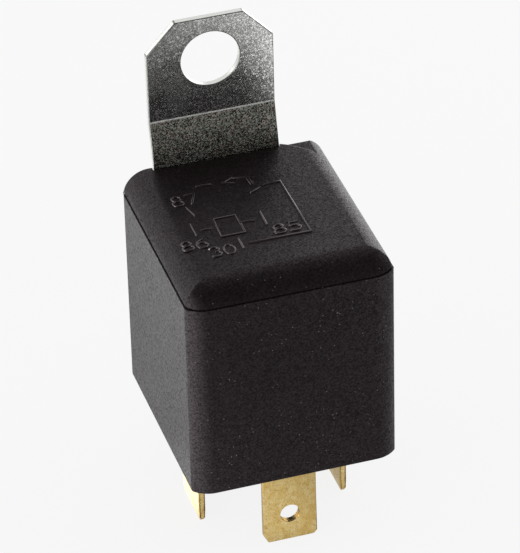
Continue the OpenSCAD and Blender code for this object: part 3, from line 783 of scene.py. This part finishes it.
def build_inside():
    """Better materials for the parts that stay as the CAD drew them."""
    iron = zinc("magnet_zinc", shine=0.72)
    rivet = worked_metal("rivet_steel", (0.50, 0.50, 0.50), (0.72, 0.72, 0.71), 0.28)
    silver = worked_metal("contact_silver", (0.66, 0.65, 0.62), (0.90, 0.89, 0.86), 0.22,
                          0.5 * MM)
    bronze = worked_metal("leaf_bronze", (0.52, 0.28, 0.12), (0.72, 0.45, 0.24), 0.26)
    spring = worked_metal("spring_steel", (0.42, 0.42, 0.43), (0.66, 0.66, 0.67), 0.24)
    lead = wound_wire("lead_wire", turns=False)
    finishes = {
        "yoke": iron, "core": iron, "armature": iron,
        "bobbin": natural_nylon("natural_nylon"),
        "winding": wound_wire("wound_wire"),
        "coil_lead_86": lead, "coil_lead_85": lead,
        "contact_leaf": bronze,
        "leaf_rivets": rivet, "base_rivets": rivet,
        "moving_contact": silver, "fixed_contact": silver,
        "return_spring": spring,
        "flexible_braid": woven_copper("woven_copper"),
    }
    for node, material in finishes.items():
        NODES[node].material_slots[0].material = material


# ---------- floor, light and camera ----------

WHITE = (1, 1, 1, 1)

# What the camera sees of the backdrop and the floor, and the share of the true shadow in it
BACKGROUND = 0.930
FLOOR_SEEN = 0.946
FLOOR_SHADOW = 0.09
FLOOR_COLOUR = (0.86, 0.86, 0.86, 1)
FLOOR_HALF = 3.0

# From here to there the floor that the camera sees fades into the backdrop
FLOOR_NEAR = 80 * MM
FLOOR_FAR = 200 * MM

# What matte surfaces get from the room
DAYLIGHT = 0.85

# The level that reflections see on the floor: right by the object, in front and behind
UNDER_LEVEL = 0.45
FRONT_LEVEL = 0.38
BACK_LEVEL = 1.00

# Paler and darker fields of the floor that reflections see:
# centre and half size in millimetres along X and Y, and what they add
FIELDS = [
    (-11.0, 4.5, 5, 11, 1.60),
    (54, -64, 38, 40, 0.95),
    (18, -68, 14, 16, -0.20),
    (-44, 30, 18, 90, 0.60),
    (-21, 30, 12, 60, -0.08),
    (-130, 160, 90, 100, -0.35),
    (66, 86, 50, 60, 1.30),
    (140, 175, 110, 130, 0.60),
    (8, -16, 7, 12, -0.18),
    (48, 0, 24, 40, 0.10),
]

# The direction of the lit front left, the cosine at which it ends, and what it adds on the
# floor by the object and farther off
GLOW_FROM = (-0.906, -0.423, 0)
GLOW_ENDS = 0.45
GLOW_NEAR = 1.8
GLOW_FAR = 1.2

# The room that reflections see: in front, behind, and what is left of it high up
ROOM_FRONT = 0.13
ROOM_BACK = 1.05
ROOM_HIGH = 0.90

# Softboxes: place, size in metres, power in watts
LAMPS = {
    "lamp_back_right": ((0.128, 0.168, 0.035), 0.110, 0.080),
    "lamp_front_left": ((-0.46, -0.19, 0.06), 0.20, 0.80),
    "lamp_back_left": ((-0.40, 0.55, 0.17), 0.15, 0.10),
    "lamp_left": ((-0.54, 0.03, 0.25), 0.30, 0.3),
    "lamp_right": ((0.52, -0.12, 0.30), 0.30, 0.3),
}

# The camera's direction from the object, its roll, its distance from the housing's middle,
# and how far the middle of the picture lies above that
CAMERA_TURN = math.radians(-16.73)
CAMERA_RISE = math.radians(34.97)
CAMERA_ROLL = math.radians(-1.6)
CAMERA_REACH = 0.4628
CAMERA_LENS = 269.86
CAMERA_CLIP = 0.01
HOUSING_CENTRE = Vector((0, 0, 0.013578))
FRAME_RISE = 0.00420


def mix_shaders(tree, factor, a, b):
    """Shader a where factor is 0, shader b where it is 1."""
    return add(tree, "ShaderNodeMixShader", {0: factor, 1: a, 2: b}).outputs[0]


def emission(tree, strength):
    return add(tree, "ShaderNodeEmission", {"Color": WHITE, "Strength": strength}).outputs[0]


def seen_directly(tree, rays):
    """1 for what the camera sees, also through a clear piece, and 0 for the rest."""
    return plus(tree, rays["Is Camera Ray"], rays["Is Transmission Ray"])


def field(tree, x, y, half_x, half_y, amount):
    """An ellipse on the floor that is full over its inner part and fades out to its rim."""
    across = times(tree, minus(tree, axis(tree, "X"), x * MM), 1 / (half_x * MM))
    along = times(tree, minus(tree, axis(tree, "Y"), y * MM), 1 / (half_y * MM))
    spot = add(tree, "ShaderNodeCombineXYZ", {"X": across, "Y": along}).outputs[0]
    reach = vector_maths(tree, "LENGTH", {0: spot}, "Value")
    return spread(tree, reach, 0.4, 1.0, amount, 0, True)


def glow(tree, direction):
    """From 0 to 1, how far a direction looks at the lit front left of the room."""
    toward = vector_maths(tree, "DOT_PRODUCT", {0: direction, 1: GLOW_FROM}, "Value")
    return maths(tree, "POWER", spread(tree, toward, GLOW_ENDS, 1.0), 2)


def floor_mirrored(tree, coordinates, reach):
    """The level that reflections see on the floor."""
    backwards = minus(tree, axis(tree, "Y"), times(tree, axis(tree, "X"), 0.5))
    level = spread(tree, backwards, -80 * MM, 20 * MM, FRONT_LEVEL, BACK_LEVEL, True)
    for values in FIELDS:
        level = plus(tree, level, field(tree, *values))
    outward = vector_maths(tree, "NORMALIZE", {0: coordinates})
    front_left = times(tree, glow(tree, outward),
                       spread(tree, axis(tree, "Y"), 2 * MM, -12 * MM))
    near = spread(tree, reach, 18 * MM, 32 * MM, 0, GLOW_NEAR, True)
    far = spread(tree, reach, 60 * MM, 95 * MM, 0, GLOW_FAR - GLOW_NEAR, True)
    level = plus(tree, level, times(tree, front_left, plus(tree, near, far)))
    return times(tree, spread(tree, reach, 3 * MM, 15 * MM, UNDER_LEVEL, 1.0, True), level)


def build_floor():
    """A pale floor: the camera sees a plain level with a faint true shadow, reflections see
    paler and darker fields, and matte surfaces see a matte floor."""
    mesh = bpy.data.meshes.new("floor")
    corners = [(-FLOOR_HALF, -FLOOR_HALF, 0), (FLOOR_HALF, -FLOOR_HALF, 0),
               (FLOOR_HALF, FLOOR_HALF, 0), (-FLOOR_HALF, FLOOR_HALF, 0)]
    mesh.from_pydata(corners, [], [(0, 1, 2, 3)])
    floor = bpy.data.objects.new("floor", mesh)
    floor.location.z = FLOOR_Z
    bpy.context.scene.collection.objects.link(floor)
    material, tree, shader = new_material("pale_floor")
    tree.nodes.remove(shader)
    rays = add(tree, "ShaderNodeLightPath").outputs
    coordinates = object_place(tree)
    reach = vector_maths(tree, "LENGTH", {0: coordinates}, "Value")
    matte = add(tree, "ShaderNodeBsdfDiffuse", {"Color": FLOOR_COLOUR}).outputs[0]
    far = spread(tree, reach, FLOOR_NEAR, FLOOR_FAR, smooth=True)
    seen = mix_shaders(tree, choose(tree, far, 1 - FLOOR_SHADOW, 1.0), matte,
                       emission(tree, choose(tree, far, FLOOR_SEEN, BACKGROUND)))
    mirrored = emission(tree, floor_mirrored(tree, coordinates, reach))
    surface = mix_shaders(tree, seen_directly(tree, rays), matte, seen)
    surface = mix_shaders(tree, rays["Is Glossy Ray"], surface, mirrored)
    plug(tree, tree.nodes["Material Output"].inputs["Surface"], surface)
    mesh.materials.append(material)


def build_world():
    """A white sweep behind and above the object, falling off to a dark room in front that is
    lit from the left."""
    world = bpy.data.worlds.new("studio")
    bpy.context.scene.world = world
    world.use_nodes = True
    tree = world.node_tree
    direction = add(tree, "ShaderNodeTexCoord").outputs["Generated"]
    split = add(tree, "ShaderNodeSeparateXYZ", {"Vector": direction}).outputs
    behind = spread(tree, split["Y"], -0.25, 0.55, ROOM_FRONT, ROOM_BACK, True)
    height = spread(tree, split["Z"], -0.05, 0.45, 1.0, ROOM_HIGH, True)
    left = times(tree, glow(tree, direction),
                 spread(tree, split["Z"], 0.15, 0.6, GLOW_FAR, 0.2 * GLOW_FAR))
    level = plus(tree, times(tree, behind, height), left)
    rays = add(tree, "ShaderNodeLightPath").outputs
    level = choose(tree, seen_directly(tree, rays), level, BACKGROUND)
    strength = choose(tree, rays["Is Diffuse Ray"], level, DAYLIGHT)
    plug_all(tree, tree.nodes["Background"], {"Color": WHITE, "Strength": strength})


def build_lamps():
    """Square lamps that face the middle of the housing and that the camera doesn't see."""
    for name, (at, size, power) in LAMPS.items():
        lamp = bpy.data.lights.new(name, "AREA")
        lamp.shape = "SQUARE"
        lamp.size = size
        lamp.energy = power
        body = bpy.data.objects.new(name, lamp)
        body.location = at
        aim = Vector((0, 0, TOP_Z / 2)) - body.location
        body.rotation_euler = aim.to_track_quat("-Z", "Y").to_euler()
        body.visible_camera = False
        bpy.context.scene.collection.objects.link(body)


def camera_attitude(back):
    """The camera's rotation, where back points from what it looks at to the camera."""
    return back.to_track_quat("Z", "Y").to_matrix() @ Matrix.Rotation(CAMERA_ROLL, 3, "Z")


def build_camera():
    """The camera where the photo was taken from."""
    back = Vector((math.cos(CAMERA_RISE) * math.sin(CAMERA_TURN),
                   -math.cos(CAMERA_RISE) * math.cos(CAMERA_TURN),
                   math.sin(CAMERA_RISE)))
    location = HOUSING_CENTRE + back * CAMERA_REACH
    aim = HOUSING_CENTRE + camera_attitude(back) @ Vector((0, FRAME_RISE, 0))
    attitude = camera_attitude((location - aim).normalized())
    camera = bpy.data.cameras.new("camera")
    camera.lens = CAMERA_LENS
    camera.clip_start = CAMERA_CLIP
    body = bpy.data.objects.new("camera", camera)
    body.matrix_world = Matrix.Translation(location) @ attitude.to_4x4()
    bpy.context.scene.collection.objects.link(body)
    bpy.context.scene.camera = body


build_camera()
build_housing()
build_bracket()
build_blades()
build_inside()
build_floor()
build_world()
build_lamps()

bpy.context.scene.view_settings.view_transform = "Standard"
